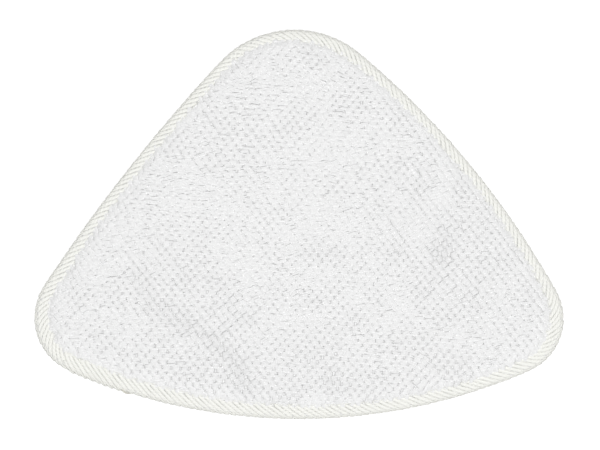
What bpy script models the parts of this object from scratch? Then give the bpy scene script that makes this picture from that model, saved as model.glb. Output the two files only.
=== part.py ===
"""Triangular steam mop pad.

A loop-pile face cloth, a wadding core and a backing cloth lie on each other and are held together
along the rim by a three-thread overlock seam. Metres, +Z up. The pad lies with its pile up. +X runs
along its long lower side, +Y points to its apex, and the origin is under the middle of its outline.
"""

import math

import bpy
import numpy as np

MM = 0.001

# Outline, seen from above: each corner is an arc, given as centre x, centre y and radius. Each side
# is a long bowed arc that runs into the corners at its two ends without a kink. The left side joins
# the apex to the left corner, the lower side joins the two lower corners, and so on round.
APEX = (-2.7 * MM, 56.6 * MM, 61.6 * MM)
LEFT_CORNER = (-125.4 * MM, -56.3 * MM, 34.9 * MM)
RIGHT_CORNER = (126.4 * MM, -57.0 * MM, 34.0 * MM)
CORNERS = (APEX, LEFT_CORNER, RIGHT_CORNER)
SIDE_RADII = (1029.0 * MM, 347.5 * MM, 515.4 * MM)
STEPS_PER_CORNER = 12
STEPS_PER_SIDE = 12

# Clearance between pieces that touch on the real pad.
GAP = 0.3 * MM

# Stack in the middle of the pad, where nothing presses the layers together.
BACKING_THICKNESS = 1.0 * MM
CORE_THICKNESS = 2.5 * MM
FACE_THICKNESS = 3.9 * MM

# The same layers where the seam presses them together.
BACKING_IN_SEAM = 0.6 * MM
CORE_IN_SEAM = 0.6 * MM
FACE_IN_SEAM = 1.0 * MM

# Overlock seam: how far its two looper threads reach in from the rim, and how thick they lie.
SEAM_WIDTH = 6.0 * MM
LOOPER_ON_FACE = 0.9 * MM
LOOPER_ON_BACK = 0.9 * MM
LOOPER_AT_RIM = 1.2 * MM
RIM_ROUNDING = 2.6 * MM
RIM_STEPS = 3
NEEDLE_THREAD = 0.7 * MM
NEEDLE_SIDES = 6

# Beyond the seam the pad swells from its pressed thickness to its full thickness.
SWELL_START = SEAM_WIDTH + 2 * GAP + NEEDLE_THREAD
SWELL_WIDTH = 9.6 * MM
SWELL_STEPS = 5


def side_centre(start, end, radius):
    """Centre of the side arc that touches both corner arcs from outside.

    It lies at the side's radius less the corner's radius from each corner's centre, on the inner
    side of the line that joins them."""
    start_xy, end_xy = np.array(start[:2]), np.array(end[:2])
    to_start, to_end = radius - start[2], radius - end[2]
    length = np.linalg.norm(end_xy - start_xy)
    along = (end_xy - start_xy) / length
    inward = np.array([-along[1], along[0]])
    run = (to_start**2 - to_end**2 + length**2) / (2 * length)
    return start_xy + along * run + inward * math.sqrt(to_start**2 - run**2)


def arc_steps(centre, radius, toward_start, toward_end, steps):
    """Centre, radius and outward direction at each step of an arc that turns counter-clockwise."""
    first = math.atan2(toward_start[1], toward_start[0])
    turn = (math.atan2(toward_end[1], toward_end[0]) - first) % (2 * math.pi)
    angles = first + turn * np.arange(steps) / steps
    directions = np.column_stack((np.cos(angles), np.sin(angles)))
    return np.tile(centre, (steps, 1)), np.full(steps, radius), directions


def outline_steps():
    """Arc centres, radii and outward directions all the way round, counter-clockwise."""
    following = CORNERS[1:] + CORNERS[:1]
    sides = [side_centre(a, b, r) for a, b, r in zip(CORNERS, following, SIDE_RADII)]
    pieces = []
    for corner, before, after, radius, next_corner in zip(
        CORNERS, sides[-1:] + sides[:-1], sides, SIDE_RADII, following
    ):
        centre = np.array(corner[:2])
        next_centre = np.array(next_corner[:2])
        pieces.append(
            arc_steps(centre, corner[2], centre - before, centre - after, STEPS_PER_CORNER)
        )
        pieces.append(
            arc_steps(after, radius, centre - after, next_centre - after, STEPS_PER_SIDE)
        )
    centres, radii, directions = (np.concatenate(part) for part in zip(*pieces))
    rim = centres + radii[:, None] * directions
    middle = (rim.min(axis=0) + rim.max(axis=0)) / 2
    return centres - middle, radii, directions


ARC_CENTRES, ARC_RADII, OUTWARD = outline_steps()


def ring(inset, height):
    """The outline moved inwards by inset, at one height: every arc keeps its centre."""
    flat = ARC_CENTRES + (ARC_RADII - inset)[:, None] * OUTWARD
    return np.column_stack((flat, np.full(len(flat), height)))


def ring_faces(lower, upper, count):
    """Four-sided faces between two rings, whose points start at the indices lower and upper."""
    step = np.arange(count)
    ahead = (step + 1) % count
    return np.column_stack((lower + step, lower + ahead, upper + ahead, upper + step)).tolist()


def new_piece(name, points, faces, material):
    """One shaded mesh object with its own material."""
    mesh = bpy.data.meshes.new(name)
    mesh.from_pydata(points.tolist(), [], faces)
    mesh.materials.append(material)
    mesh.shade_smooth()
    mesh.set_sharp_from_angle(angle=math.radians(35))
    piece = bpy.data.objects.new(name, mesh)
    bpy.context.scene.collection.objects.link(piece)
    return piece


def new_material(name, colour, roughness):
    """A matt cloth or thread finish."""
    material = bpy.data.materials.new(name)
    material.use_nodes = True
    shader = material.node_tree.nodes["Principled BSDF"]
    shader.inputs["Base Color"].default_value = (*colour, 1.0)
    shader.inputs["Roughness"].default_value = roughness
    shader.inputs["Metallic"].default_value = 0.0
    return material


def cloth_layer(name, in_seam, in_middle, material):
    """A layer of the pad: a closed sheet that is thin in the seam and full in the middle.

    in_seam and in_middle give the heights of its underside and its upper side. Both sides are stacks
    of rings from the cut edge inwards, and each is closed in the middle by one flat face."""
    cut_edge = LOOPER_AT_RIM + GAP
    share = np.linspace(0.0, 1.0, SWELL_STEPS)
    swell = share * share * (3 - 2 * share)
    insets = np.concatenate(([cut_edge], SWELL_START + SWELL_WIDTH * share))
    swell = np.concatenate(([0.0], swell))
    under = in_seam[0] + (in_middle[0] - in_seam[0]) * swell
    upper = in_seam[1] + (in_middle[1] - in_seam[1]) * swell
    # From the middle of the underside out to the cut edge, then back over the upper side.
    section = list(zip(insets[::-1], under[::-1])) + list(zip(insets, upper))
    rings = [ring(inset, height) for inset, height in section]
    count = len(ARC_RADII)
    faces = []
    for index in range(len(rings) - 1):
        faces += ring_faces(index * count, (index + 1) * count, count)
    last = (len(rings) - 1) * count
    faces.append(list(range(count))[::-1])
    faces.append(list(range(last, last + count)))
    return new_piece(name, np.concatenate(rings), faces, material)


def thread_ring(name, section, material):
    """A band of thread that runs all round the pad with one closed section.

    The section's points are inset and height, listed from the rim over the upper side and back."""
    rings = [ring(inset, height) for inset, height in section]
    count = len(ARC_RADII)
    faces = []
    for index in range(len(rings)):
        following = (index + 1) % len(rings)
        faces += ring_faces(index * count, following * count, count)
    return new_piece(name, np.concatenate(rings), faces, material)


def looper_section(rim_height, fabric_height, crest_height):
    """Section of a looper thread's band: a hook that closes round one half of the rim.

    It leaves the rim at rim_height, follows a quarter of an ellipse to crest_height, runs flat to the
    seam's inner margin, and comes back along the cloth at fabric_height."""
    turn = np.linspace(0.0, math.pi / 2, RIM_STEPS + 1)
    inset = RIM_ROUNDING * (1 - np.cos(turn))
    height = rim_height + (crest_height - rim_height) * np.sin(turn)
    return [
        *zip(inset, height),
        (SEAM_WIDTH, crest_height),
        (SEAM_WIDTH, fabric_height),
        (LOOPER_AT_RIM, fabric_height),
        (LOOPER_AT_RIM, rim_height),
    ]


def stacked(start, thicknesses):
    """Heights of the underside and upper side of each layer of a stack, with a gap between layers."""
    levels = []
    height = start
    for thickness in thicknesses:
        levels.append((height, height + thickness))
        height += thickness + GAP
    return levels


for old in list(bpy.data.objects):
    bpy.data.objects.remove(old, do_unlink=True)

backing_middle, core_middle, face_middle = stacked(
    0.0, (BACKING_THICKNESS, CORE_THICKNESS, FACE_THICKNESS)
)
backing_seam, core_seam, face_seam = stacked(
    LOOPER_ON_BACK + GAP, (BACKING_IN_SEAM, CORE_IN_SEAM, FACE_IN_SEAM)
)

face_white = new_material("white_loop_microfibre", (0.86, 0.86, 0.86), 0.9)
core_white = new_material("white_polyester_wadding", (0.80, 0.80, 0.79), 1.0)
backing_white = new_material("white_brushed_loop_knit", (0.82, 0.82, 0.82), 0.9)
needle_cream = new_material("cream_needle_thread", (0.84, 0.84, 0.78), 0.7)
upper_cream = new_material("cream_upper_looper_thread", (0.86, 0.86, 0.80), 0.7)
lower_cream = new_material("cream_lower_looper_thread", (0.86, 0.86, 0.80), 0.7)

cloth_layer("backing_cloth", backing_seam, backing_middle, backing_white)
cloth_layer("absorbent_core", core_seam, core_middle, core_white)
cloth_layer("face_cloth", face_seam, face_middle, face_white)

# The looper threads hook round the rim from above and from below and meet half way up its edge.
face_thread_height = face_seam[1] + GAP
seam_top = face_thread_height + LOOPER_ON_FACE
rim_middle = seam_top / 2
upper_section = looper_section(rim_middle + GAP / 2, face_thread_height, seam_top)
lower_section = looper_section(rim_middle - GAP / 2, LOOPER_ON_BACK, 0.0)
thread_ring("upper_looper_thread", upper_section, upper_cream)
thread_ring("lower_looper_thread", lower_section[::-1], lower_cream)

# The needle thread is the row of stitches that holds the upper looper's loops at their inner ends.
needle_radius = NEEDLE_THREAD / 2
needle_inset = SEAM_WIDTH + GAP + needle_radius
needle_height = face_thread_height + needle_radius
around = 2 * math.pi * np.arange(NEEDLE_SIDES) / NEEDLE_SIDES
needle_section = list(
    zip(needle_inset - needle_radius * np.cos(around), needle_height + needle_radius * np.sin(around))
)
thread_ring("needle_thread", needle_section, needle_cream)
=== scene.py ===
import math

import bpy
import numpy as np
from mathutils.geometry import convex_hull_2d
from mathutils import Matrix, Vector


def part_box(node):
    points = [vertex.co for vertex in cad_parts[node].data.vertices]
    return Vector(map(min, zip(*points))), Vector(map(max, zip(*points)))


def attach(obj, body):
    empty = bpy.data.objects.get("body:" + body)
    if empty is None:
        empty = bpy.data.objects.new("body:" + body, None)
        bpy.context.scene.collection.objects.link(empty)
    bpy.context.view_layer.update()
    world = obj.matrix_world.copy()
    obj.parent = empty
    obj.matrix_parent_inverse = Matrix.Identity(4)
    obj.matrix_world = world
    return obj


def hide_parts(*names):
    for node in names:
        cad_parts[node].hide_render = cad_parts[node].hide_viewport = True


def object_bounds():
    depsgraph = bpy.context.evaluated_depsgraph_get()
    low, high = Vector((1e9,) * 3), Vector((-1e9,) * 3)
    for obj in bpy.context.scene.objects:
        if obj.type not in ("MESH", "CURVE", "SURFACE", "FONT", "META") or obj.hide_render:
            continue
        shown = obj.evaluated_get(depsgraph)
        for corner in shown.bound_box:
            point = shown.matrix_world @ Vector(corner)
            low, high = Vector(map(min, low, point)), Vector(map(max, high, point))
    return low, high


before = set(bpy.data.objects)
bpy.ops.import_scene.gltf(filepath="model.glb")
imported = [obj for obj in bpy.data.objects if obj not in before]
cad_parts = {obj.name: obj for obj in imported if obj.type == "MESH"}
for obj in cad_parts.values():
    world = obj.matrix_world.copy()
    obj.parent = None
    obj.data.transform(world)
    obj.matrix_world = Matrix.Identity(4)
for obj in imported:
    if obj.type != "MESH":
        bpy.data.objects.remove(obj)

MM = 0.001
cad_low, cad_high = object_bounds()

# ---- Outline -----------------------------------------------------------------------------------
# The pad is cut as a triangle with three round corners and two long sides that bow outwards.
# Its rim is where the overlock threads turn over the cut edge, so the rim is read from the band of
# the upper looper thread, and every other piece is laid out from it, clockwise as the seam is sewn.

SEAM_JOIN = np.array([-106.0, -101.0]) * MM
RIM_POINTS = 1440


def node_points(name):
    """All points of a CAD node's mesh."""
    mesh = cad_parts[name].data
    flat = np.empty(len(mesh.vertices) * 3, np.float32)
    mesh.vertices.foreach_get("co", flat)
    return flat.reshape(-1, 3).astype(float)


def unit(vectors):
    """The vectors at length one."""
    return vectors / np.linalg.norm(vectors, axis=-1, keepdims=True)


def closed_curve(knots, count):
    """A smooth closed curve through the knots, as points equally spaced along it.

    A periodic cubic spline over the chord lengths: the slopes at the knots solve the usual
    three-term equations, and each span between two knots is the Hermite cubic of its slopes."""
    size = len(knots)
    chord = np.roll(knots, -1, axis=0) - knots
    span = np.linalg.norm(chord, axis=1)
    before = np.roll(span, 1)
    one = np.eye(size)
    terms = (
        one * (2 / before + 2 / span)[:, None]
        + np.roll(one, 1, axis=1) / span[:, None]
        + np.roll(one, -1, axis=1) / before[:, None]
    )
    steep = chord / span[:, None] ** 2
    slopes = np.linalg.solve(terms, 3 * (steep + np.roll(steep, 1, axis=0)))
    t = np.linspace(0, 1, 40, endpoint=False)[None, :, None]
    a, b = knots[:, None], np.roll(knots, -1, axis=0)[:, None]
    da = (slopes * span[:, None])[:, None]
    db = (np.roll(slopes, -1, axis=0) * span[:, None])[:, None]
    fine = (
        (2 * t**3 - 3 * t**2 + 1) * a
        + (t**3 - 2 * t**2 + t) * da
        + (3 * t**2 - 2 * t**3) * b
        + (t**3 - t**2) * db
    ).reshape(-1, 2)
    closed = np.vstack((fine, fine[:1]))
    travel = np.concatenate(([0], np.cumsum(np.linalg.norm(np.diff(closed, axis=0), axis=1))))
    even = np.linspace(0, travel[-1], count, endpoint=False)
    return np.column_stack([np.interp(even, travel, closed[:, i]) for i in range(2)])


def enclosed(outline):
    """Area inside a closed outline, positive where it runs counter-clockwise."""
    ahead = np.roll(outline, -1, axis=0)
    return (outline[:, 0] * ahead[:, 1] - outline[:, 1] * ahead[:, 0]).sum() / 2


band = node_points("upper_looper_thread")[:, :2]
knots = band[convex_hull_2d(band.tolist())]
apart = np.linalg.norm(knots - np.roll(knots, 1, axis=0), axis=1)
knots = knots[apart > 1 * MM]
if enclosed(knots) > 0:
    knots = knots[::-1]
rim = closed_curve(knots, RIM_POINTS)
rim = np.roll(rim, -np.argmin(np.linalg.norm(rim - SEAM_JOIN, axis=1)), axis=0)
rim_forward = unit(np.roll(rim, -1, axis=0) - np.roll(rim, 1, axis=0))
rim_length = np.linalg.norm(rim - np.roll(rim, 1, axis=0), axis=1).sum()
rim_travel = np.arange(RIM_POINTS + 1) * rim_length / RIM_POINTS


def at_rim(travel):
    """Rim point, sewing direction and inward direction after some travel along the rim."""
    turn = np.mod(travel, rim_length)
    table = np.hstack((rim, rim_forward))
    table = np.vstack((table, table[:1]))
    found = np.stack([np.interp(turn, rim_travel, table[:, i]) for i in range(4)], axis=-1)
    forward = unit(found[..., 2:])
    inward = np.stack((forward[..., 1], -forward[..., 0]), axis=-1)
    return found[..., :2], forward, inward


def inset_of(plan):
    """How far inside the rim each plan point lies, and the travel along the rim beside it."""
    flat = plan.reshape(-1, 2)
    inset, travel = np.empty(len(flat)), np.empty(len(flat))
    for start in range(0, len(flat), 4000):
        part = slice(start, start + 4000)
        apart = np.linalg.norm(flat[part, None] - rim[None], axis=2)
        nearest = apart.argmin(axis=1)
        inset[part], travel[part] = apart.min(axis=1), rim_travel[nearest]
    return inset.reshape(plan.shape[:-1]), travel.reshape(plan.shape[:-1])


def soft_noise(plan, cell, seed):
    """Smooth random field with a spread of about one: random values at the corners of a square
    grid with that cell, blended between corners by smoothstep."""
    corners = np.random.default_rng(seed).standard_normal((64, 64))
    place = plan / cell + 31.37
    low = np.floor(place).astype(int)
    share = place - low
    share = share * share * (3 - 2 * share)
    x, y = low[..., 0] % 63, low[..., 1] % 63
    sx, sy = share[..., 0], share[..., 1]
    lower = corners[x, y] * (1 - sx) + corners[x + 1, y] * sx
    upper = corners[x, y + 1] * (1 - sx) + corners[x + 1, y + 1] * sx
    return (lower * (1 - sy) + upper * sy) * 1.5


# ---- Wadding core ------------------------------------------------------------------------------
# A flat sheet of bonded polyester wadding, cut to the outline and caught in the seam all round.
# The seam presses it thin, and inside the seam it swells, so the cloths over it lie in low waves.

SEAM_WIDTHS = {  # bearing from the middle of the pad in degrees: width of the seam in millimetres
    14: 5.6, 45: 6.2, 75: 7.4, 98: 6.8, 131: 6.0, 178: 6.2, 193: 7.6, 203: 9.4,
    218: 9.6, 231: 9.2, 250: 8.8, 270: 8.4, 295: 7.6, 318: 7.2, 332: 8.4, 340: 9.4, 351: 6.4,
}
SWELL_WIDTH = 12.0 * MM
SWELL_POWER = 2.6
CORE_IN_SEAM = (2.1 * MM, 2.9 * MM)  # under side and upper side, where the seam presses it
CORE_INSETS = np.array([1.6, 3, 5, 7, 9, 11, 13.5, 16.5, 20]) * MM
CORE_INNER_RINGS = 22
CORE_LUMPS = 0.15 * MM
CORE_LUMP_SIZE = 30 * MM
RING_POINTS = 180
PUFF_START = 1.2 * MM  # how much thinner than in use the wadding starts before it is blown up
PUFF_CAP = 1.6 * MM  # the most that any of its points may rise
PUFF_FRAMES = 15
VALLEY = np.array([(-100, -28), (-90, -49), (-69, -59), (-54, -69), (-39, -82), (-33, -98)]) * MM
VALLEY_DEPTH = 1.3 * MM
VALLEY_WIDTH = 5.0 * MM
CREASE_IN_CORE = 0.6  # share of the crease's depth that the wadding takes


def seam_width(travel):
    """Width of the overlock seam beside a place on the rim."""
    point = at_rim(travel)[0]
    bearing = np.degrees(np.arctan2(point[..., 1], point[..., 0])) % 360
    places = sorted(SEAM_WIDTHS)
    return np.interp(bearing, places, [SEAM_WIDTHS[p] for p in places], period=360) * MM


def swell(inset, travel):
    """Share of the full thickness: none in the seam, then rising steeply beside it and levelling
    off, as a cushion does: one less a power of what is left of the swell's width."""
    share = np.clip((inset - seam_width(travel)) / SWELL_WIDTH, 0, 1)
    return 1 - (1 - share) ** SWELL_POWER


def valley(plan):
    """Depth of the crease left by folding: a bell curve across a bent line in the lower left."""
    depth = np.zeros(plan.shape[:-1])
    for a, b in zip(VALLEY[:-1], VALLEY[1:]):
        along = np.clip(((plan - a) @ (b - a)) / ((b - a) @ (b - a)), 0, 1)
        apart = np.linalg.norm(plan - (a + along[..., None] * (b - a)), axis=-1)
        depth = np.maximum(depth, np.exp(-((apart / VALLEY_WIDTH) ** 2)))
    return VALLEY_DEPTH * depth


def pad_rings(insets, inner_rings, around=RING_POINTS):
    """Plan points of rings that follow the rim, (ring, around, 2): first at the given insets, then
    shrinking evenly from the last of these to a small ring in the middle of the pad."""
    travel = np.arange(around) * rim_length / around
    point, _, inward = at_rim(travel)
    outer = point[None] + np.asarray(insets)[:, None, None] * inward[None]
    middle = outer[-1].mean(axis=0)
    shrink = np.linspace(1, 0.02, inner_rings + 1)[1:, None, None]
    return np.concatenate((outer, middle + (outer[-1] - middle)[None] * shrink))


def new_piece(name, points, faces, finish):
    """A smooth-shaded mesh object at the origin, its place worked out in its mesh."""
    mesh = bpy.data.meshes.new(name)
    mesh.from_pydata(points.reshape(-1, 3), [], faces)
    mesh.shade_smooth()
    mesh.materials.append(finish)
    piece = bpy.data.objects.new(name, mesh)
    bpy.context.scene.collection.objects.link(piece)
    return piece


def sheet_faces(rows, columns, start=0, turned=False):
    """Quads of a grid that closes on itself along its columns."""
    row = np.arange(rows - 1)[:, None] * columns + start
    column = np.arange(columns)[None]
    ahead = (column + 1) % columns
    below = row + columns
    faces = np.stack((row + column, below + column, below + ahead, row + ahead), axis=-1)
    faces = faces.reshape(-1, 4)
    return faces[:, ::-1] if turned else faces


def closed_pad(name, plan, upper, under, finish):
    """A closed pad: an upper and an under surface on the same rings, joined at the outermost ring
    by a wall, and each closed in the middle by one small face."""
    rows, columns = plan.shape[:2]
    top = np.concatenate((plan, upper[..., None]), axis=-1)
    bottom = np.concatenate((plan, under[..., None]), axis=-1)
    count = rows * columns
    column = np.arange(columns)
    ahead = (column + 1) % columns
    wall = np.stack((column, ahead, count + ahead, count + column), axis=-1)
    last = (rows - 1) * columns
    faces = np.concatenate(
        (sheet_faces(rows, columns), sheet_faces(rows, columns, count, True), wall)
    ).tolist()
    faces += [(last + column[::-1]).tolist(), (count + last + column).tolist()]
    return new_piece(name, np.stack((top, bottom)), faces, finish)


class Wire:
    """An output of one of a finish's nodes. Its operators add Math nodes, so sums read as sums."""

    def __init__(self, finish, socket):
        self.finish, self.socket = finish, socket

    def maths(self, operation, first, second=0.0):
        return self.finish.node("ShaderNodeMath", {"operation": operation}, {0: first, 1: second})

    def __add__(self, other):
        return self.maths("ADD", self, other)

    def __mul__(self, other):
        return self.maths("MULTIPLY", self, other)

    def __pow__(self, other):
        return self.maths("POWER", self, other)

    __radd__, __rmul__ = __add__, __mul__

    def sine(self):
        return self.maths("SINE", self)


class Finish:
    """A procedural material built round one Principled shader."""

    def __init__(self, name, **constants):
        self.material = bpy.data.materials.new(name)
        self.material.use_nodes = True
        self.tree = self.material.node_tree
        self.shader = self.tree.nodes["Principled BSDF"]
        for socket, value in constants.items():
            self.shader.inputs[socket.replace("_", " ").title()].default_value = value

    def node(self, kind, settings=None, inputs=None, output=0):
        """Adds a node: its settings first, then the values or wires of its sockets."""
        node = self.tree.nodes.new(kind)
        for key, value in (settings or {}).items():
            setattr(node, key, value)
        for key, value in (inputs or {}).items():
            self.feed(node.inputs[key], value)
        return Wire(self, node.outputs[output])

    def feed(self, socket, value):
        if isinstance(value, Wire):
            self.tree.links.new(value.socket, socket)
        else:
            socket.default_value = value

    def blend(self, share, first, second):
        """A colour between two colours."""
        return self.node(
            "ShaderNodeMix", {"data_type": "RGBA"}, {0: share, 6: first, 7: second}, output=2
        )

    def place(self):
        """Where a point lies on the pad, in metres."""
        return self.node("ShaderNodeTexCoord", output=3)

    def cloud(self, size, detail=2.0, roughness=0.5, at=None, stretch=(1, 1, 1)):
        """Soft random value around 0.5, with features of about that size in metres."""
        scale = tuple(s / size for s in stretch)
        spread = self.node(
            "ShaderNodeMapping", None, {"Vector": at or self.place(), "Scale": scale}
        )
        return self.node(
            "ShaderNodeTexNoise",
            None,
            {"Vector": spread, "Scale": 1.0, "Detail": detail, "Roughness": roughness},
        )

    def bump(self, height, depth, over=None):
        """A surface raised by height, which runs from 0 to 1, times depth in metres."""
        inputs = {"Height": height, "Distance": depth, "Strength": 1.0}
        if over is not None:
            inputs["Normal"] = over
        return self.node("ShaderNodeBump", None, inputs)

    def surface(self, **wires):
        for socket, value in wires.items():
            self.feed(self.shader.inputs[socket.replace("_", " ").title()], value)
        return self.material


def grey(value):
    """A neutral colour."""
    return (value, value, value, 1.0)


def blown_up(piece, held):
    """Points of a closed piece after a short cloth simulation: pressure inside it, no weight, and the
    held points fixed. Its cloth is a little longer than its outline, so it comes out in waves."""
    scene = bpy.context.scene
    piece.vertex_groups.new(name="held").add(held.tolist(), 1.0, "REPLACE")
    cloth = piece.modifiers.new("cloth", "CLOTH")
    cloth.settings.quality = 5
    cloth.settings.mass = 0.2
    cloth.settings.tension_stiffness = cloth.settings.compression_stiffness = 15
    cloth.settings.shear_stiffness = 5
    cloth.settings.bending_stiffness = 1
    cloth.settings.use_pressure = True
    cloth.settings.uniform_pressure_force = 3
    cloth.settings.shrink_min = -0.004
    cloth.settings.vertex_group_mass = "held"
    cloth.settings.effector_weights.gravity = 0
    cloth.collision_settings.use_collision = False
    cloth.point_cache.frame_end = PUFF_FRAMES
    for moment in range(1, PUFF_FRAMES + 1):
        scene.frame_set(moment)
    shown = piece.evaluated_get(bpy.context.evaluated_depsgraph_get()).data
    flat = np.empty(len(shown.vertices) * 3, np.float32)
    shown.vertices.foreach_get("co", flat)
    piece.modifiers.remove(cloth)
    piece.vertex_groups.clear()
    scene.frame_set(1)
    return flat.reshape(-1, 3).astype(float)


def wadding_finish():
    """Matt white crimped fibres, bonded at random into a lofty felt."""
    finish = Finish("white_wadding", roughness=1.0, sheen_weight=0.3, sheen_roughness=0.6)
    fibres = finish.cloud(0.9 * MM, detail=5.0, roughness=0.75)
    colour = finish.blend(fibres, grey(0.70), grey(0.82))
    return finish.surface(base_color=colour, normal=finish.bump(fibres, 0.4 * MM))


core_low, core_high = (corner.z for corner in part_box("absorbent_core"))
core_plan = pad_rings(CORE_INSETS, CORE_INNER_RINGS)
core_inset, core_travel = inset_of(core_plan)
core_swell = swell(core_inset, core_travel)
core_flat = CORE_IN_SEAM[1] + (core_high - CORE_IN_SEAM[1]) * core_swell
core_under = CORE_IN_SEAM[0] + (core_low - CORE_IN_SEAM[0]) * core_swell
core_lumps = CORE_LUMPS * soft_noise(core_plan, CORE_LUMP_SIZE, 5)
core_start = core_flat + (core_lumps - PUFF_START) * core_swell
wadding = closed_pad("wadding_core", core_plan, core_start, core_under, wadding_finish())
caught = np.flatnonzero(core_inset < seam_width(core_travel))
underside = core_inset.size + np.arange(core_inset.size)
held = np.concatenate((caught, underside))
puffed = blown_up(wadding, held)[: core_start.size, 2].reshape(core_start.shape)
rise = PUFF_CAP * np.tanh((puffed - core_start) / PUFF_CAP)
core_crease = CREASE_IN_CORE * valley(core_plan) * core_swell
core_upper = core_start + rise - core_crease
points = np.stack([np.dstack((core_plan, level)) for level in (core_upper, core_under)])
wadding.data.vertices.foreach_set("co", points.astype(np.float32).ravel())
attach(wadding, "root")
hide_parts("absorbent_core")


def pad_grid(cell):
    """Plan points of a square grid over the pad and a little beyond it."""
    x = np.arange(cad_low.x - 3 * cell, cad_high.x + 4 * cell, cell)
    y = np.arange(cad_low.y - 3 * cell, cad_high.y + 4 * cell, cell)
    return np.stack(np.meshgrid(x, y, indexing="ij"), axis=-1)


def on_grid(grid, known):
    """Function that blends, at any plan point, between values known at the points of a grid."""
    cell = grid[1, 0, 0] - grid[0, 0, 0]

    def blended(plan):
        place = (plan - grid[0, 0]) / cell
        low = np.clip(np.floor(place).astype(int), 0, np.array(known.shape) - 2)
        sx, sy = np.moveaxis(place - low, -1, 0)
        i, j = np.moveaxis(low, -1, 0)
        near = known[i, j] * (1 - sx) + known[i + 1, j] * sx
        far = known[i, j + 1] * (1 - sx) + known[i + 1, j + 1] * sx
        return near * (1 - sy) + far * sy

    return blended


def spread_on_grid(plan, values, cell, passes):
    """Values known at scattered plan points, as a smooth field: each is added to its nearest grid
    point, sums and counts are both softened over their neighbours, and divided."""
    grid = pad_grid(cell)
    i, j = np.moveaxis(np.rint((plan.reshape(-1, 2) - grid[0, 0]) / cell).astype(int), -1, 0)
    heap = np.zeros(grid.shape[:2] + (2,))
    np.add.at(heap, (i, j), np.column_stack((values.ravel(), np.ones(len(i)))))
    for _ in range(passes):
        heap = sum((np.roll(heap, step, axis=way) for way in (0, 1) for step in (-1, 1)), heap) / 5
    return on_grid(grid, heap[..., 0] / (heap[..., 1] + 1e-9))


# How much higher or lower than flat the wadding carries the cloth above it, but for the crease.
wave = spread_on_grid(core_plan, core_upper + core_crease - core_flat, 3 * MM, 5)


# ---- Ground of the face cloth ------------------------------------------------------------------
# The fine white knit that holds the pile, with the matted feet of the loops. It lies on the wadding
# and ends at the cut edge under the threads. Between the tufts it shows as the floor of dimples.

GROUND_IN_SEAM = 4.2 * MM
GROUND_EDGE = 0.5 * MM
GROUND_OVER_CORE = 0.3 * MM
DIMPLE_DEPTH = 1.4 * MM
PUCKER_LENGTH = 11 * MM
PUCKER_HEIGHT = 0.25 * MM
PUCKER_FADE = 5 * MM
CLOTH_INSETS = np.array([1.5, 3, 5, 7, 9, 11, 13.5, 16.5, 20]) * MM
CLOTH_INNER_RINGS = 26
CLOTH_RING_POINTS = 240
ground_middle = cad_high.z - DIMPLE_DEPTH


def pucker(inset, travel):
    """Small gathers that the tight seam pulls into the cloth beside it: waves along the rim with an
    uneven length, fading with the distance from the seam."""
    beyond = np.clip(inset - seam_width(travel), 0, None)
    uneven = 0.9 * np.sin(travel / (37 * MM)) + 0.6 * np.sin(travel / (23 * MM) + 1.3)
    gathers = np.sin(2 * math.pi * travel / PUCKER_LENGTH + uneven)
    return PUCKER_HEIGHT * gathers * np.exp(-beyond / PUCKER_FADE)


def lay_ground(plan):
    """Height of the ground knit's upper side, worked out at plan points."""
    inset, travel = inset_of(plan)
    share = swell(inset, travel)
    lift = GROUND_IN_SEAM + (ground_middle - GROUND_IN_SEAM) * share
    return lift + wave(plan) - valley(plan) * share + pucker(inset, travel) * (inset > 2 * MM)


fine_grid = pad_grid(1 * MM)
ground_height = on_grid(fine_grid, lay_ground(fine_grid))


def knit_finish(name, light, dark, wale, course):
    """Fine knitted cloth: ribs of stitches in one direction, courses across, fuzz over both, with
    painted shade: the colour is darker in the hollows between the stitches.
    """
    finish = Finish(name, roughness=0.95, sheen_weight=0.25, sheen_roughness=0.5)
    place = finish.place()
    parts = [finish.node("ShaderNodeSeparateXYZ", None, {0: place}, output=i) for i in range(2)]
    ribs = (parts[0] * (2 * math.pi / wale)).sine()
    stitches = (parts[1] * (2 * math.pi / course) + ribs * 0.6).sine()
    loops = 0.5 + 0.25 * ribs + 0.25 * stitches
    fuzz = finish.cloud(0.35 * MM, detail=3.0, roughness=0.7)
    patches = finish.cloud(14 * MM, detail=2.0)
    # Painted shade: the colour follows the loops' relief, darker where they are low.
    colour = finish.blend(0.5 * loops + 0.3 * fuzz + 0.2 * patches, dark, light)
    relief = finish.bump(loops, 0.22 * MM, finish.bump(fuzz, 0.15 * MM))
    return finish.surface(base_color=colour, normal=relief)


# Both cloths are cut together, so the backing below uses the same rings of points.
cloth_plan = pad_rings(CLOTH_INSETS, CLOTH_INNER_RINGS, around=CLOTH_RING_POINTS)
cloth_inset, cloth_travel = inset_of(cloth_plan)
cloth_swell = swell(cloth_inset, cloth_travel)
ground_edge_under = GROUND_IN_SEAM - GROUND_EDGE
ground_under = ground_edge_under + (core_high + GROUND_OVER_CORE - ground_edge_under) * cloth_swell
ground_sag = CREASE_IN_CORE * valley(cloth_plan)
ground = closed_pad(
    "face_ground_knit",
    cloth_plan,
    ground_height(cloth_plan),
    ground_under + (wave(cloth_plan) - ground_sag) * cloth_swell,
    knit_finish("white_ground_knit", grey(0.95), grey(0.86), 0.9 * MM, 0.7 * MM),
)
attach(ground, "root")
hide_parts("face_cloth")

# ---- Loop pile ---------------------------------------------------------------------------------
# The mopping side. Soft microfibre yarn stands out of the ground knit in tufts of six strands, one
# tuft to a stitch, in courses set half a stitch apart, so a dimple shows beside each tuft. Five
# feeds of yarn knit the courses in turn. Use and washing have laid the pile over in patches.

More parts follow.
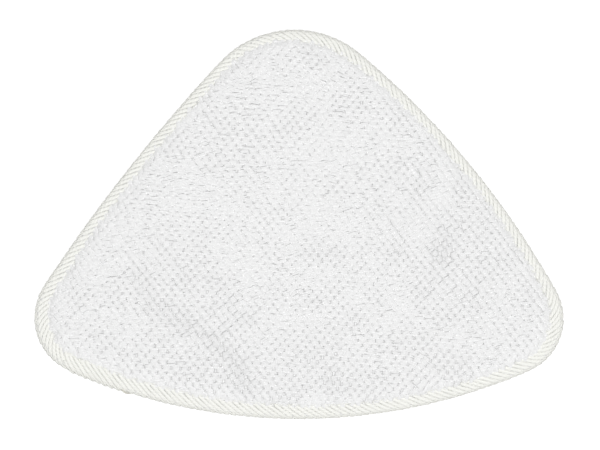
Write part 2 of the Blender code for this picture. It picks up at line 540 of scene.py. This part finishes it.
COURSE_PITCH = 3.05 * MM
STITCH_PITCH = 5.30 * MM
COURSE_SLOPE = math.radians(-4)
YARN_FEEDS = 5
STRANDS_PER_TUFT = 6
TUFT_LENGTH = (4.45 * MM, 5.3 * MM)  # upright, laid over
TUFT_WIDTH = (4.35 * MM, 3.9 * MM)
TUFT_SQUARENESS = (4.0, 2.6)
STRAND_RADIUS = (0.64 * MM, 0.60 * MM)  # across, deep
STRAND_ROOT = 0.4 * MM  # how deep a strand starts below the ground's upper side
STRAND_FOOT = 0.6  # thickness of a strand's feet, as a share of its thickness at the top
STRAND_SINK = 0.7  # share of its radius that a strand's line lies below the tuft's height
STRAND_SIDES = 4
STRAND_STRAY = 0.10 * MM
REACH = np.array([-1, -0.9, -0.55, 0.55, 0.9, 1])  # rows of a strand, along its half length
ARCH_SQUARENESS = 5
ARCH_STEEPNESS = 0.45
TUFT_ROUNDING = 0.14  # how much lower a tuft's outer strands stand
LAID_FLATTENING = 0.15  # share of its height that a tuft loses when laid over
LAID_LEAN = 0.5 * MM
ROW_SCATTER = 0.10  # stray turn of a tuft, in radians
FRINGE_SCATTER = 0.6
ROWS_START = 1.3 * MM  # how far inside the seam the rows of tufts begin
LOW_TUFT = 0.6  # height of a tuft beside the seam, as a share of its full height
FULL_TUFT_AT = 7 * MM  # distance from the seam where tufts reach their full height
FRINGE_PITCH = 1.7 * MM
FRINGE_SIZE = 0.62
UPRIGHT = (0.25, 10, 0.25)  # pile outside all patches: its weight, direction and flatness
CREASE_OPENING = 0.16  # share of their size that tufts shrink apart in the crease
TUFT_TONE = 0.85
# Painted shade: how much the strands are painted greyer where the pile opens and whiter where it is
# full, and greyer in the crease.
FULLNESS_PAINTED_SHADE = 1.2
CREASE_PAINTED_SHADE = 0.5
# Where the pile is laid over: x and y of the patch and its reach in millimetres, the direction of
# the tufts in degrees from +X, how flat they lie, and how much they shrink apart there, which
# also paints them greyer there, or whiter where it is below zero, as painted shade.
LAID_PATCHES = (
    (98, 15, 24, 18, 0.3, 0.08),
    (80, -14, 18, 26, 0.2, 0.03),
    (115, -30, 24, 26, 0.3, 0.10),
    (140, -58, 18, 20, 0.3, -0.08),
    (50, 8, 24, 14, 0.4, 0.04),
    (5, -22, 34, 8, 0.5, 0.03),
    (-62, -60, 22, 18, 0.3, 0.03),
    (-108, -20, 22, 20, 0.3, -0.01),
    (-103, -62, 20, 10, 0.4, 0.02),
    (7, -100, 24, 0, 0.6, 0.08),
    (66, -94, 20, -40, 0.5, 0.12),
    (12, 66, 24, -20, 0.2, -0.02),
    (43, 57, 24, 0, 0.1, -0.05),
    (-60, 40, 36, 0, 0.0, -0.07),
    (-54, 70, 24, 0, 0.0, -0.10),
    (-20, 85, 24, 0, 0.0, -0.04),
)


def between(measures, flatness):
    """A measure of the pile between what it is upright and what it is laid over."""
    return measures[0] + (measures[1] - measures[0]) * flatness


def laid_over(plan):
    """Direction of the tufts, how flat they lie and how full they are: patches blended by bell
    curves over a nearly upright pile, with a soft random part. The pile opens along the crease."""
    total = np.full(plan.shape[:-1], UPRIGHT[0])
    direction = total * math.radians(UPRIGHT[1])
    flatness = total * UPRIGHT[2]
    opened = total * 0.0
    for x, y, reach, turn, flat, gap in LAID_PATCHES:
        apart = np.linalg.norm(plan - np.array([x, y]) * MM, axis=-1) / (reach * MM)
        weight = np.exp(-(apart**2))
        total = total + weight
        direction = direction + weight * math.radians(turn)
        flatness = flatness + weight * flat
        opened = opened + weight * gap
    direction = direction / total + 0.12 * soft_noise(plan, 16 * MM, 11)
    flatness = np.clip(flatness / total + 0.16 * soft_noise(plan, 20 * MM, 12), 0, 1)
    opened = opened / total + CREASE_OPENING * valley(plan) / VALLEY_DEPTH
    return direction, flatness, 1 - opened + 0.05 * soft_noise(plan, 13 * MM, 21)


def tuft_places():
    """Plan point and course number of each tuft: a grid with every other course moved half a
    stitch, turned by the slope of the courses and gently pulled out of true."""
    course = np.arange(-48, 49)
    stitch = np.arange(-38, 39)
    course, stitch = (part.ravel() for part in np.meshgrid(course, stitch, indexing="ij"))
    x = (stitch + 0.5 * (course % 2)) * STITCH_PITCH
    y = course * COURSE_PITCH
    c, s = math.cos(COURSE_SLOPE), math.sin(COURSE_SLOPE)
    plan = np.column_stack((c * x - s * y, s * x + c * y))
    pull = np.column_stack([soft_noise(plan, 45 * MM, seed) for seed in (1, 2)])
    plan = plan + 0.7 * MM * pull
    plan = plan + 0.16 * MM * np.random.default_rng(3).standard_normal(plan.shape)
    near = np.abs(plan[:, 0]) < cad_high.x
    plan, course = plan[near], course[near]
    inset, travel = inset_of(plan)
    # Points beyond the rim also have a nearest rim point, so the side is told by the inward way.
    point, _, inward = at_rim(travel)
    inside = ((plan - point) * inward).sum(axis=1) > 0
    free = inside & (inset > seam_width(travel) + ROWS_START)
    return plan[free], course[free], inset[free] - seam_width(travel[free])


def fringe_places():
    """Plan point, course number and distance from the seam of the small tufts beside it: loops that
    the stitches push out of line, three staggered to a short stretch of the inner margin."""
    count = int(rim_length / FRINGE_PITCH)
    stray = np.random.default_rng(6).standard_normal((2, count))
    travel = (np.arange(count) + 0.25 * stray[0]) * rim_length / count
    beyond = (np.array([-0.2, 1.9, 0.9])[np.arange(count) % 3] + 0.3 * stray[1]) * MM
    point, _, inward = at_rim(travel)
    return point + (seam_width(travel) + beyond)[:, None] * inward, np.arange(count), beyond


def strand_faces(rows, sides):
    """Quads of one closed strand: its sides, then its two ends, each in quads."""
    row, column = np.meshgrid(np.arange(rows - 1), np.arange(sides), indexing="ij")
    ahead = (column + 1) % sides
    near, far = row * sides, (row + 1) * sides
    tube = np.stack((near + column, near + ahead, far + ahead, far + column), axis=-1)
    tube = tube.reshape(-1, 4)
    fan = np.arange(1, sides // 2)[:, None] * 2 + np.array([-1, 0, 1])
    end = np.column_stack((np.zeros(len(fan), int), fan))
    return np.concatenate((tube, end[:, ::-1], end + (rows - 1) * sides))


def yarn_strands(name, spine, side, radius_across, radius_deep, sides, finish, shade):
    """Closed strands of yarn along the lines of spine, (strand, row, 3).

    The section at each row is an ellipse between the side direction and the one square to it and to
    the spine. The map along_yarn holds the length travelled in centimetres and the turn, and
    yarn_tone_and_painted_shade a tone for each strand or each of its rows."""
    # The tone attribute also carries painted shade: greyer pile in the crease and where it opens, and
    # darker thread over the seam's rim.
    count, rows = spine.shape[:2]
    forward = unit(np.gradient(spine, axis=1))
    side = unit(side - (side * forward).sum(axis=-1, keepdims=True) * forward)
    out = np.cross(forward, side)
    turn = 2 * math.pi * (np.arange(sides) + 0.5) / sides
    points = (
        spine[:, :, None]
        + (radius_across[..., None] * np.cos(turn))[..., None] * side[:, :, None]
        + (radius_deep[..., None] * np.sin(turn))[..., None] * out[:, :, None]
    )
    one = strand_faces(rows, sides)
    faces = (np.arange(count)[:, None, None] * rows * sides + one[None]).reshape(-1, 4)
    piece = new_piece(name, points, faces, finish)

    travel = np.zeros((count, rows))
    travel[:, 1:] = np.cumsum(np.linalg.norm(np.diff(spine, axis=1), axis=-1), axis=1) / 0.01
    along = travel.reshape(count, rows, 1).repeat(sides, axis=2).reshape(count, -1)[:, one]
    around = (one % sides) / sides
    tube = (rows - 1) * sides
    around[:tube, 1:3] = around[:tube, :1] + 1 / sides
    corners = np.stack((along, np.broadcast_to(around, along.shape)), axis=-1)
    layer = piece.data.uv_layers.new(name="along_yarn")
    layer.data.foreach_set("uv", corners.astype(np.float32).ravel())
    tones = np.broadcast_to(shade, (count, rows)).repeat(sides, axis=1)
    held = piece.data.attributes.new("yarn_tone_and_painted_shade", "FLOAT", "POINT")
    held.data.foreach_set("value", tones.astype(np.float32).ravel())
    return piece


def pile_finish():
    """White split microfibre yarn: fine filaments along each strand, slightly uneven whites, and
    painted shade: greyer where the pile opens and in the crease, whiter where it is full.
    """
    finish = Finish("white_microfibre_pile", roughness=0.9, sheen_weight=0.35, sheen_roughness=0.45)
    yarn = finish.node("ShaderNodeUVMap", {"uv_map": "along_yarn"})
    filaments = finish.cloud(1.0, detail=3.0, roughness=0.65, at=yarn, stretch=(5.0, 9.0, 1.0))
    fuzz = finish.cloud(0.5 * MM, detail=3.0, roughness=0.7)
    shade = finish.node("ShaderNodeAttribute", {"attribute_name": "yarn_tone_and_painted_shade"}, output=2)
    # The strands' tone attribute brings in painted shade from the crease and the open pile.
    tone = 0.55 * shade + 0.3 * filaments + 0.15 * fuzz
    colour = finish.blend(tone, grey(0.86), grey(0.985))
    relief = finish.bump(filaments, 0.10 * MM, finish.bump(fuzz, 0.08 * MM))
    return finish.surface(base_color=colour, normal=relief)


in_rows, in_fringe = tuft_places(), fringe_places()
tuft_plan, tuft_course, beyond_seam = (np.concatenate(both) for both in zip(in_rows, in_fringe))
is_fringe = np.arange(len(tuft_plan)) >= len(in_rows[0])
direction, flatness, fullness = laid_over(tuft_plan)
draw = np.random.default_rng(4)
tufts = len(tuft_plan)
scatter = np.where(is_fringe, FRINGE_SCATTER, ROW_SCATTER)
direction = direction + scatter * draw.standard_normal(tufts)
fullness = fullness * np.where(is_fringe, FRINGE_SIZE, 1)
length = fullness * between(TUFT_LENGTH, flatness)
width = fullness * between(TUFT_WIDTH, flatness)
height = DIMPLE_DEPTH * (1 - LAID_FLATTENING * flatness)
height = height * (1 + 0.05 * draw.standard_normal(tufts))
height = height * (LOW_TUFT + (1 - LOW_TUFT) * np.clip(beyond_seam / FULL_TUFT_AT, 0, 1))

# One row per strand: where it stands across its tuft, and its own small differences.
across = (np.arange(STRANDS_PER_TUFT) + 0.5) / STRANDS_PER_TUFT - 0.5
square = between(TUFT_SQUARENESS, flatness)[:, None]
left = 1 - np.abs(2 * across) ** square
shape = (tufts, STRANDS_PER_TUFT)
own_turn = direction[:, None] + 0.05 * draw.standard_normal(shape)
own_height = height[:, None] * left**TUFT_ROUNDING * (1 + 0.04 * draw.standard_normal(shape))
own_length = length[:, None] * left ** (1 / square) * (1 + 0.04 * draw.standard_normal(shape))
own_shift = STRAND_STRAY * draw.standard_normal(shape)
own_thickness = 1 + 0.05 * draw.standard_normal(shape)
# Painted shade: strands are painted whiter where the pile is full, greyer where it opens, and
# greyer most of all in the crease.
tuft_tone_and_painted_shade = TUFT_TONE + FULLNESS_PAINTED_SHADE * (fullness / np.where(is_fringe, FRINGE_SIZE, 1) - 1)
tuft_tone_and_painted_shade = tuft_tone_and_painted_shade - CREASE_PAINTED_SHADE * valley(tuft_plan) / VALLEY_DEPTH
own_tone_and_painted_shade = np.clip(tuft_tone_and_painted_shade[:, None] + 0.09 * draw.standard_normal(shape), 0, 1)

# A strand is an arch: along its length from -1 to 1, its height follows a flattened ellipse.
arch = (1 - np.abs(REACH) ** ARCH_SQUARENESS) ** ARCH_STEEPNESS
along = REACH * own_length[..., None] / 2 + own_shift[..., None]
along = along + LAID_LEAN * flatness[:, None, None] * arch
heading = np.stack((np.cos(own_turn), np.sin(own_turn)), axis=-1)
sideways = np.stack((-np.sin(own_turn), np.cos(own_turn)), axis=-1)
stand = tuft_plan[:, None] + (across * width[:, None])[..., None] * sideways
bend = STRAND_STRAY * draw.standard_normal(shape)[..., None] * arch
spine_plan = stand[:, :, None] + along[..., None] * heading[:, :, None]
spine_plan = spine_plan + bend[..., None] * sideways[:, :, None]
root = ground_height(spine_plan) - STRAND_ROOT
climb = own_height + STRAND_ROOT - STRAND_SINK * STRAND_RADIUS[1]
spine_height = root + climb[..., None] * arch
spine = np.concatenate((spine_plan, spine_height[..., None]), axis=-1)
level = np.zeros(shape + (1,))
side = np.concatenate((sideways, level), axis=-1)[:, :, None]
side = np.broadcast_to(side, spine.shape)
thick = own_thickness[..., None] * (STRAND_FOOT + (1 - STRAND_FOOT) * arch)

pile_white = pile_finish()
for feed in range(YARN_FEEDS):
    mine = tuft_course % YARN_FEEDS == feed
    rows = (-1, len(REACH), 3)
    piece = yarn_strands(
        f"pile_yarn_feed_{feed + 1}",
        spine[mine].reshape(rows),
        side[mine].reshape(rows),
        STRAND_RADIUS[0] * thick[mine].reshape(rows[:2]),
        STRAND_RADIUS[1] * thick[mine].reshape(rows[:2]),
        STRAND_SIDES,
        pile_white,
        own_tone_and_painted_shade[mine].reshape(-1, 1),
    )
    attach(piece, "root")

# Both cloths are cut to the rim, so their flat size is the outline's.
PAD_AREA = -enclosed(rim)

# ---- Backing cloth -----------------------------------------------------------------------------
# The side that the mop head's hook strips grip: a thinner knit with a brushed, unlooped nap. It lies
# flat on the floor, and turns up a little where the seam takes it in.

BACKING_IN_SEAM = 1.7 * MM
BACKING_THICKNESS = 0.9 * MM
BACKING_PRESSED = 0.6  # thickness in the seam, as a share of the full thickness
BACKING_OVER_FLOOR = (0.05 * MM, 0.1 * MM)  # at the least, in the middle
BACKING_PUCKER = 0.6

backing_middle = BACKING_THICKNESS + BACKING_OVER_FLOOR[1]
backing_upper = BACKING_IN_SEAM + (backing_middle - BACKING_IN_SEAM) * cloth_swell
gathers = np.clip(pucker(cloth_inset, cloth_travel), -0.1 * MM, 0.3 * MM)
backing_upper = backing_upper + gathers * BACKING_PUCKER
backing_thickness = BACKING_THICKNESS * (BACKING_PRESSED + (1 - BACKING_PRESSED) * cloth_swell)
backing = closed_pad(
    "backing_knit",
    cloth_plan,
    backing_upper,
    np.clip(backing_upper - backing_thickness, BACKING_OVER_FLOOR[0], None),
    # Painted shade: the white backing is coloured grey, so that it reads dark where it shows between
    # the seam's threads at the rim.
    knit_finish("white_brushed_backing_painted_grey", grey(0.82), grey(0.66), 1.3 * MM, 1.0 * MM),
)
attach(backing, "root")
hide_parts("backing_cloth")

# ---- Overlock seam -----------------------------------------------------------------------------
# Three cream threads bind the cut edge. The two loopers carry bulky textured yarn: the upper one
# zigzags over the pile side, the lower one over the backing, and they meet round the rim. The
# needle thread holds them along the inner margin. The seam overlaps itself where it started.

STITCH = 4.25 * MM
OVERLAP = 34 * MM
YARN_WIDTH = 2.0 * MM
YARN_DEPTH = 1.25 * MM
SEAM_SQUARENESS = 2.15
SEAM_TYPICAL_WIDTH = 7 * MM
SLANT = 1.5  # travel along the rim for each unit that a strand runs inwards
LEG_PAIRING = 0.15  # share of a stitch by which its two legs close up
TURN_SHARPNESS = 0.985  # of the zigzag, where 1 would be a bare corner
TUCK_FROM = 0.86  # share of the way across the seam from where a thread dips under the pile
LOOPER_STEPS = 32
LOOPER_STRAY = (0.03, 0.12 * MM, 0.05 * MM)  # of a stitch: its reach inwards, its place, its lift
THREAD_SIDES = 6
YARN_TIGHT, YARN_LOOSENS = 0.58, 0.42  # thickness over the rim, and what it gains on the flat
NEEDLE_STEPS = 16
NEEDLE_DIVE = 0.13  # share of a stitch over which the needle thread goes down and comes up
NEEDLE_RADIUS = 0.28 * MM
NEEDLE_INSET = 0.25 * MM
NEEDLE_TOP = GROUND_IN_SEAM + 0.9 * MM
NEEDLE_LOW = 1.1 * MM
# The first colour, for yarn pulled over the rim, is painted shade; the second is the cream of the
# yarn on the flat.
CREAM_AND_RIM_SHADE = ((0.82, 0.82, 0.77, 1.0), (0.99, 0.99, 0.945, 1.0))  # pulled tight, loose
# The thread end's colours, far darker than the cream: painted shade.
TAIL_PAINTED_SHADE = ((0.62, 0.60, 0.53, 1.0), (0.80, 0.79, 0.72, 1.0))
TAIL_STEPS = 16
TAIL_START = 1.5 * MM  # travel along the rim at which the tail leaves the seam
TAIL_LENGTH = 6.5 * MM
TAIL_RADIUS = 0.6 * MM
rim_height = (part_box("upper_looper_thread")[0].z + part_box("lower_looper_thread")[1].z) / 2
seam_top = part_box("upper_looper_thread")[1].z


def hem_section(share, width, crest):
    """Inset, height and outward way on the seam's section, for a share of the way from the rim
    (0) to the seam's inner margin (1): a quarter of a superellipse, run at an even pace."""
    angle = np.linspace(0, math.pi / 2, 400)
    power = 2 / SEAM_SQUARENESS
    flat, high = 1 - np.cos(angle) ** power, np.sin(angle) ** power
    steps = np.hypot(np.diff(flat) * SEAM_TYPICAL_WIDTH, np.diff(high) * abs(crest))
    pace = np.concatenate(([0], np.cumsum(steps)))
    at = np.interp(share, pace / pace[-1], angle)
    inset = width * (1 - np.cos(at) ** power)
    height = crest * np.sin(at) ** power
    across, rise = np.cos(at), np.sin(at)
    out = 2 - power
    lean = np.stack((-(across**out) / width, np.sign(crest) * rise**out / abs(crest)), axis=-1)
    return inset, height, unit(lean)


def looper_path(crest, start, tuck, lift):
    """Line of a looper thread, stitch after stitch round the rim, the side way of its yarn, and how
    slack it lies: not at all where it is pulled over the rim, fully on the flat of the seam. That
    share also sets the painted shade: the yarn is painted darker towards the rim.

    The share of the way across the seam follows a triangle wave with rounded turns, once a stitch.
    Travel along the rim grows with it, so both legs slant alike, and steps on at the turns."""
    stitches = (rim_length + OVERLAP) / STITCH
    count = int(stitches * LOOPER_STEPS)
    phase = np.linspace(0, stitches, count)
    bent = np.arcsin(TURN_SHARPNESS * np.sin(2 * math.pi * phase - math.pi / 2))
    bent = bent / math.asin(TURN_SHARPNESS)
    uneven = np.random.default_rng(7).standard_normal(int(stitches) + 3)
    own = np.interp(phase, np.arange(len(uneven)), uneven)
    share = np.clip(0.5 + 0.5 * bent, 0, 1) * (1 + LOOPER_STRAY[0] * own)
    share = np.clip(share, 0, 1)
    step = phase + 0.9 * np.sin(4 * math.pi * phase) / (4 * math.pi)
    step = step + LEG_PAIRING * np.sin(2 * math.pi * phase)
    base = STITCH * (step + start)
    width = seam_width(base)
    inset, height, lean = hem_section(share, width, crest)
    travel = base + SLANT * inset + LOOPER_STRAY[1] * own
    point, forward, inward = at_rim(travel)
    second = np.clip((base - rim_length) / (1.5 * MM), 0, 1)
    raised = lift * second + LOOPER_STRAY[2] * own
    dip = tuck * np.clip((share - TUCK_FROM) / (1 - TUCK_FROM), 0, 1) ** 2
    plan = point + (inset + lean[:, 0] * raised)[:, None] * inward
    up = rim_height + height + lean[:, 1] * raised - np.sign(crest) * dip
    spine = np.column_stack((plan, up))
    normal = np.column_stack((lean[:, :1] * inward, lean[:, 1]))
    tangent = unit(np.gradient(spine, axis=0))
    # The last value is both how slack the yarn lies and how little painted shade it gets: its colour
    # is painted darker towards the rim.
    return spine, np.cross(normal, tangent), np.clip((share - 0.05) / 0.3, 0, 1)


def thread_finish(name, rim_painted_shade, slack_unshaded):
    """Cream textured polyester: two bulky plies twisted together, with fine crimped filaments. It
    is painted darker where it is pulled over the rim, as painted shade, and darker in the grooves
    between its plies, also painted shade."""
    finish = Finish(name, roughness=0.62, sheen_weight=0.3, sheen_roughness=0.4)
    yarn = finish.node("ShaderNodeUVMap", {"uv_map": "along_yarn"})
    parts = [finish.node("ShaderNodeSeparateXYZ", None, {0: yarn}, output=i) for i in range(2)]
    plies = ((parts[0] * 4.2 + parts[1] * 2) * (2 * math.pi)).sine()
    # The plies' relief also paints the colour: darker in the grooves between plies, as painted shade.
    ply = (0.5 + 0.5 * plies) ** 0.5
    filaments = finish.cloud(1.0, detail=4.0, roughness=0.7, at=yarn, stretch=(7.0, 12.0, 1.0))
    # The shade attribute paints the yarn darker towards the rim, as painted shade.
    shade = finish.node("ShaderNodeAttribute", {"attribute_name": "yarn_tone_and_painted_shade"}, output=2)
    colour = finish.blend(0.2 * ply + 0.2 * filaments + 0.6 * shade, rim_painted_shade, slack_unshaded)
    relief = finish.bump(ply, 0.16 * MM, finish.bump(filaments, 0.12 * MM))
    return finish.surface(base_color=colour, normal=relief)


cream_thread = thread_finish("cream_overlock_thread", *CREAM_AND_RIM_SHADE)


def looper(name, node, crest, start, tuck, lift):
    """One looper thread as a single closed strand of flattened yarn, thinnest where it is pulled
    over the rim, and painted darker there as painted shade. It starts a share of a stitch along,
    and lies higher by lift where the seam overlaps."""
    spine, side, slack_unshaded = looper_path(crest, start, tuck, lift)
    step = np.arange(len(spine))
    fluff = YARN_TIGHT + YARN_LOOSENS * slack_unshaded + 0.06 * np.sin(step * 0.9) + 0.05 * np.sin(step * 0.37)
    piece = yarn_strands(
        name,
        spine[None],
        side[None],
        (YARN_WIDTH / 2 * fluff)[None],
        (YARN_DEPTH / 2 * fluff)[None],
        THREAD_SIDES,
        cream_thread,
        slack_unshaded[None],
    )
    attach(piece, "root")
    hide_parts(node)


upper_crest = seam_top - rim_height - YARN_DEPTH / 2
lower_crest = -(rim_height - YARN_DEPTH / 2 - BACKING_OVER_FLOOR[0])
looper("upper_looper_yarn", "upper_looper_thread", upper_crest, 0.05, 0.5 * MM, 0.6 * MM)
looper("lower_looper_yarn", "lower_looper_thread", lower_crest, 0.3, 0.3 * MM, 0.0)


def needle_path():
    """Line of the needle thread: it lies along the inner margin on the pile side for most of each
    stitch, then dives through the layers and back, all at nearly one place."""
    stitches = int((rim_length + OVERLAP) / STITCH)
    phase = np.linspace(0, stitches, stitches * NEEDLE_STEPS)
    part = phase % 1
    dive = np.exp(-(((part - 0.5) / NEEDLE_DIVE) ** 2))
    travel = STITCH * (phase + 0.8 * np.sin(2 * math.pi * phase) / (2 * math.pi))
    width = seam_width(travel)
    point, _, inward = at_rim(travel + SLANT * width)
    plan = point + (width + NEEDLE_INSET)[:, None] * inward
    height = NEEDLE_TOP - (NEEDLE_TOP - NEEDLE_LOW) * dive
    return np.column_stack((plan, height)), np.column_stack((inward, np.zeros(len(plan))))


needle_spine, needle_side = needle_path()
needle_radius = np.full((1, len(needle_spine)), NEEDLE_RADIUS)
needle = yarn_strands(
    "needle_yarn",
    needle_spine[None],
    needle_side[None],
    needle_radius,
    needle_radius,
    THREAD_SIDES,
    cream_thread,
    0.8,
)
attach(needle, "root")
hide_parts("needle_thread")

# The cut end of the threads where the seam was finished: a short tail pressed against the rim,
# in a dark cream that is painted shade.
tail_share = np.linspace(0, 1, TAIL_STEPS)
tail_point, _, tail_inward = at_rim(TAIL_START - TAIL_LENGTH * tail_share)
tail_out = (1.3 * np.sin(math.pi * tail_share) ** 0.8 - 0.6) * MM
tail_height = rim_height + (1.1 - 2.6 * tail_share) * MM
tail_spine = np.column_stack((tail_point - tail_out[:, None] * tail_inward, tail_height))
tail_side = np.column_stack((tail_inward, np.zeros(len(tail_share))))
tail_radius = TAIL_RADIUS * (1 - 0.3 * tail_share)[None]
tail_thread_in_painted_shade = thread_finish("thread_end_in_painted_shade", *TAIL_PAINTED_SHADE)
tail = yarn_strands(
    "thread_tail", tail_spine[None], tail_side[None], tail_radius, tail_radius, 8, tail_thread_in_painted_shade, 0.3
)
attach(tail, "root")

# ---- Studio ------------------------------------------------------------------------------------
# A white floor lit through from below, soft light from all round with one large softbox nearly
# overhead, and a long lens straight above the pad.

FLOOR_SIZE = 6.0
FLOOR_DROP = 0.1 * MM  # how far the floor's face lies below the pad's lowest point
FLOOR_WHITE = 0.80
FLOOR_GLOW = 0.33
ROOM_LIGHT = 0.18
SOFTBOX_SIZE = 2.4
SOFTBOX_POWER = 57.5
SOFTBOX_PLACE = (0.1, -0.15, 2.3)
LENS_HEIGHT = 1.6
LENS_PLACE = (0.6 * MM, -0.3 * MM)
FRAME_WIDTH = 364.2 * MM
SENSOR = 36.0


def floor_finish():
    """Plain white floor, lit through from below as a studio light table."""
    glow = {"emission_color": grey(1.0), "emission_strength": FLOOR_GLOW}
    return Finish("white_floor", roughness=0.9, **glow).surface(base_color=grey(FLOOR_WHITE))


edge = np.array([-1, 1]) * FLOOR_SIZE / 2
floor_x, floor_y = np.meshgrid(edge, edge)
floor_points = np.stack((floor_x, floor_y, np.full((2, 2), -FLOOR_DROP)), axis=-1)
floor = new_piece("floor", floor_points, [[0, 1, 3, 2]], floor_finish())

scene = bpy.context.scene
world = bpy.data.worlds.new("studio")
scene.world = world
world.use_nodes = True
room = world.node_tree.nodes["Background"]
room.inputs["Color"].default_value = grey(1.0)
room.inputs["Strength"].default_value = ROOM_LIGHT

softbox = bpy.data.lights.new("softbox", "AREA")
softbox.shape = "SQUARE"
softbox.size = SOFTBOX_SIZE
softbox.energy = SOFTBOX_POWER
softbox_stand = bpy.data.objects.new("softbox", softbox)
softbox_stand.location = SOFTBOX_PLACE
to_pad = -softbox_stand.location
softbox_stand.rotation_euler = to_pad.to_track_quat("-Z", "Y").to_euler()
scene.collection.objects.link(softbox_stand)

camera = bpy.data.cameras.new("camera")
camera.sensor_width = SENSOR
camera.lens = SENSOR * LENS_HEIGHT / FRAME_WIDTH
camera_stand = bpy.data.objects.new("camera", camera)
camera_stand.location = LENS_PLACE + (LENS_HEIGHT + rim_height,)
scene.collection.objects.link(camera_stand)
scene.camera = camera_stand
scene.view_settings.view_transform = "Standard"
